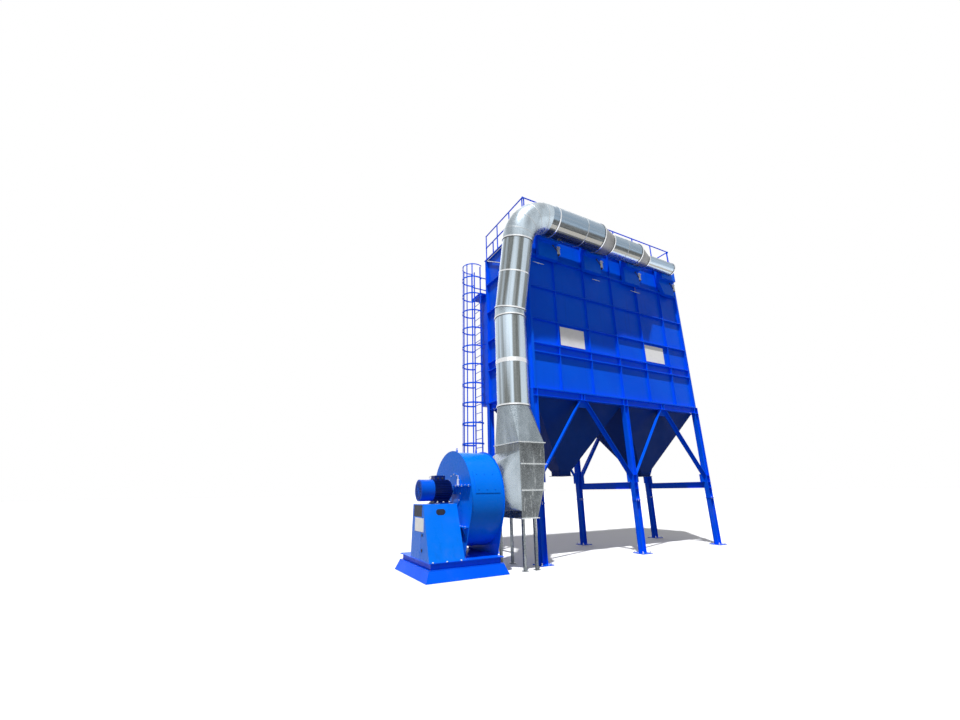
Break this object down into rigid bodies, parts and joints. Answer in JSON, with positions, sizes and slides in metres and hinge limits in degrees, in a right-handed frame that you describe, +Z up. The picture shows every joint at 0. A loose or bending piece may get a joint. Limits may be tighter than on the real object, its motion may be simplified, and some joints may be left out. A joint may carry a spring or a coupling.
{
  "type": "bag filter dust collector",
  "caption": "Ribbed bag filter housing on pyramid hoppers and a braced leg frame, with roof handrails, caged ladder, outlet duct and base-mounted extraction fan.",
  "frame": {"origin": "bottom centre of the whole plant's bounding box, on the yard", "axes": "+X to the right along the front that the picture shows, +Y from the front to the back, +Z up"},
  "size_m": [10.47, 4.3698, 10.906],
  "materials": {
    "blue_paint": "glossy blue enamel, lightly dusty",
    "hopper_paint": "semi-gloss blue enamel",
    "motor_paint": "satin dark blue enamel",
    "actuator_white": "satin white enamel",
    "galvanised": "galvanised sheet steel, dull spangle"
  },
  "bodies": {
    "root": {"casing_front": "blue_paint", "casing_back": "blue_paint", "casing_left": "blue_paint", "casing_right": "blue_paint", "clean_air_plenum": "blue_paint", "roof_deck": "blue_paint", "hopper_left": "hopper_paint", "hopper_right": "hopper_paint", "leg_front_left": "blue_paint", "leg_front_middle": "blue_paint", "leg_front_right": "blue_paint", "leg_back_left": "blue_paint", "leg_back_middle": "blue_paint", "leg_back_right": "blue_paint", "top_frame": "blue_paint", "tie_beams": "blue_paint", "braces_front": "blue_paint", "braces_back": "blue_paint", "braces_left": "blue_paint", "braces_right": "blue_paint", "rail_front": "blue_paint", "rail_back": "blue_paint", "rail_left": "blue_paint", "rail_right": "blue_paint", "outlet_boots": "blue_paint", "damper_actuators": "actuator_white", "header_large": "galvanised", "header_middle": "galvanised", "header_small": "galvanised", "header_reducers": "galvanised", "duct_elbow": "galvanised", "leaning_duct": "galvanised", "duct_bend": "galvanised", "lower_duct": "galvanised", "duct_transition": "galvanised", "inlet_box": "galvanised", "fan_inlet_cone": "galvanised", "fan_casing": "blue_paint", "fan_motor": "motor_paint", "fan_pedestal": "blue_paint", "fan_base": "blue_paint", "inlet_plenum": "blue_paint", "landing": "blue_paint", "roof_grating": "galvanised", "caged_ladder": "blue_paint"}
  },
  "joints": []
}
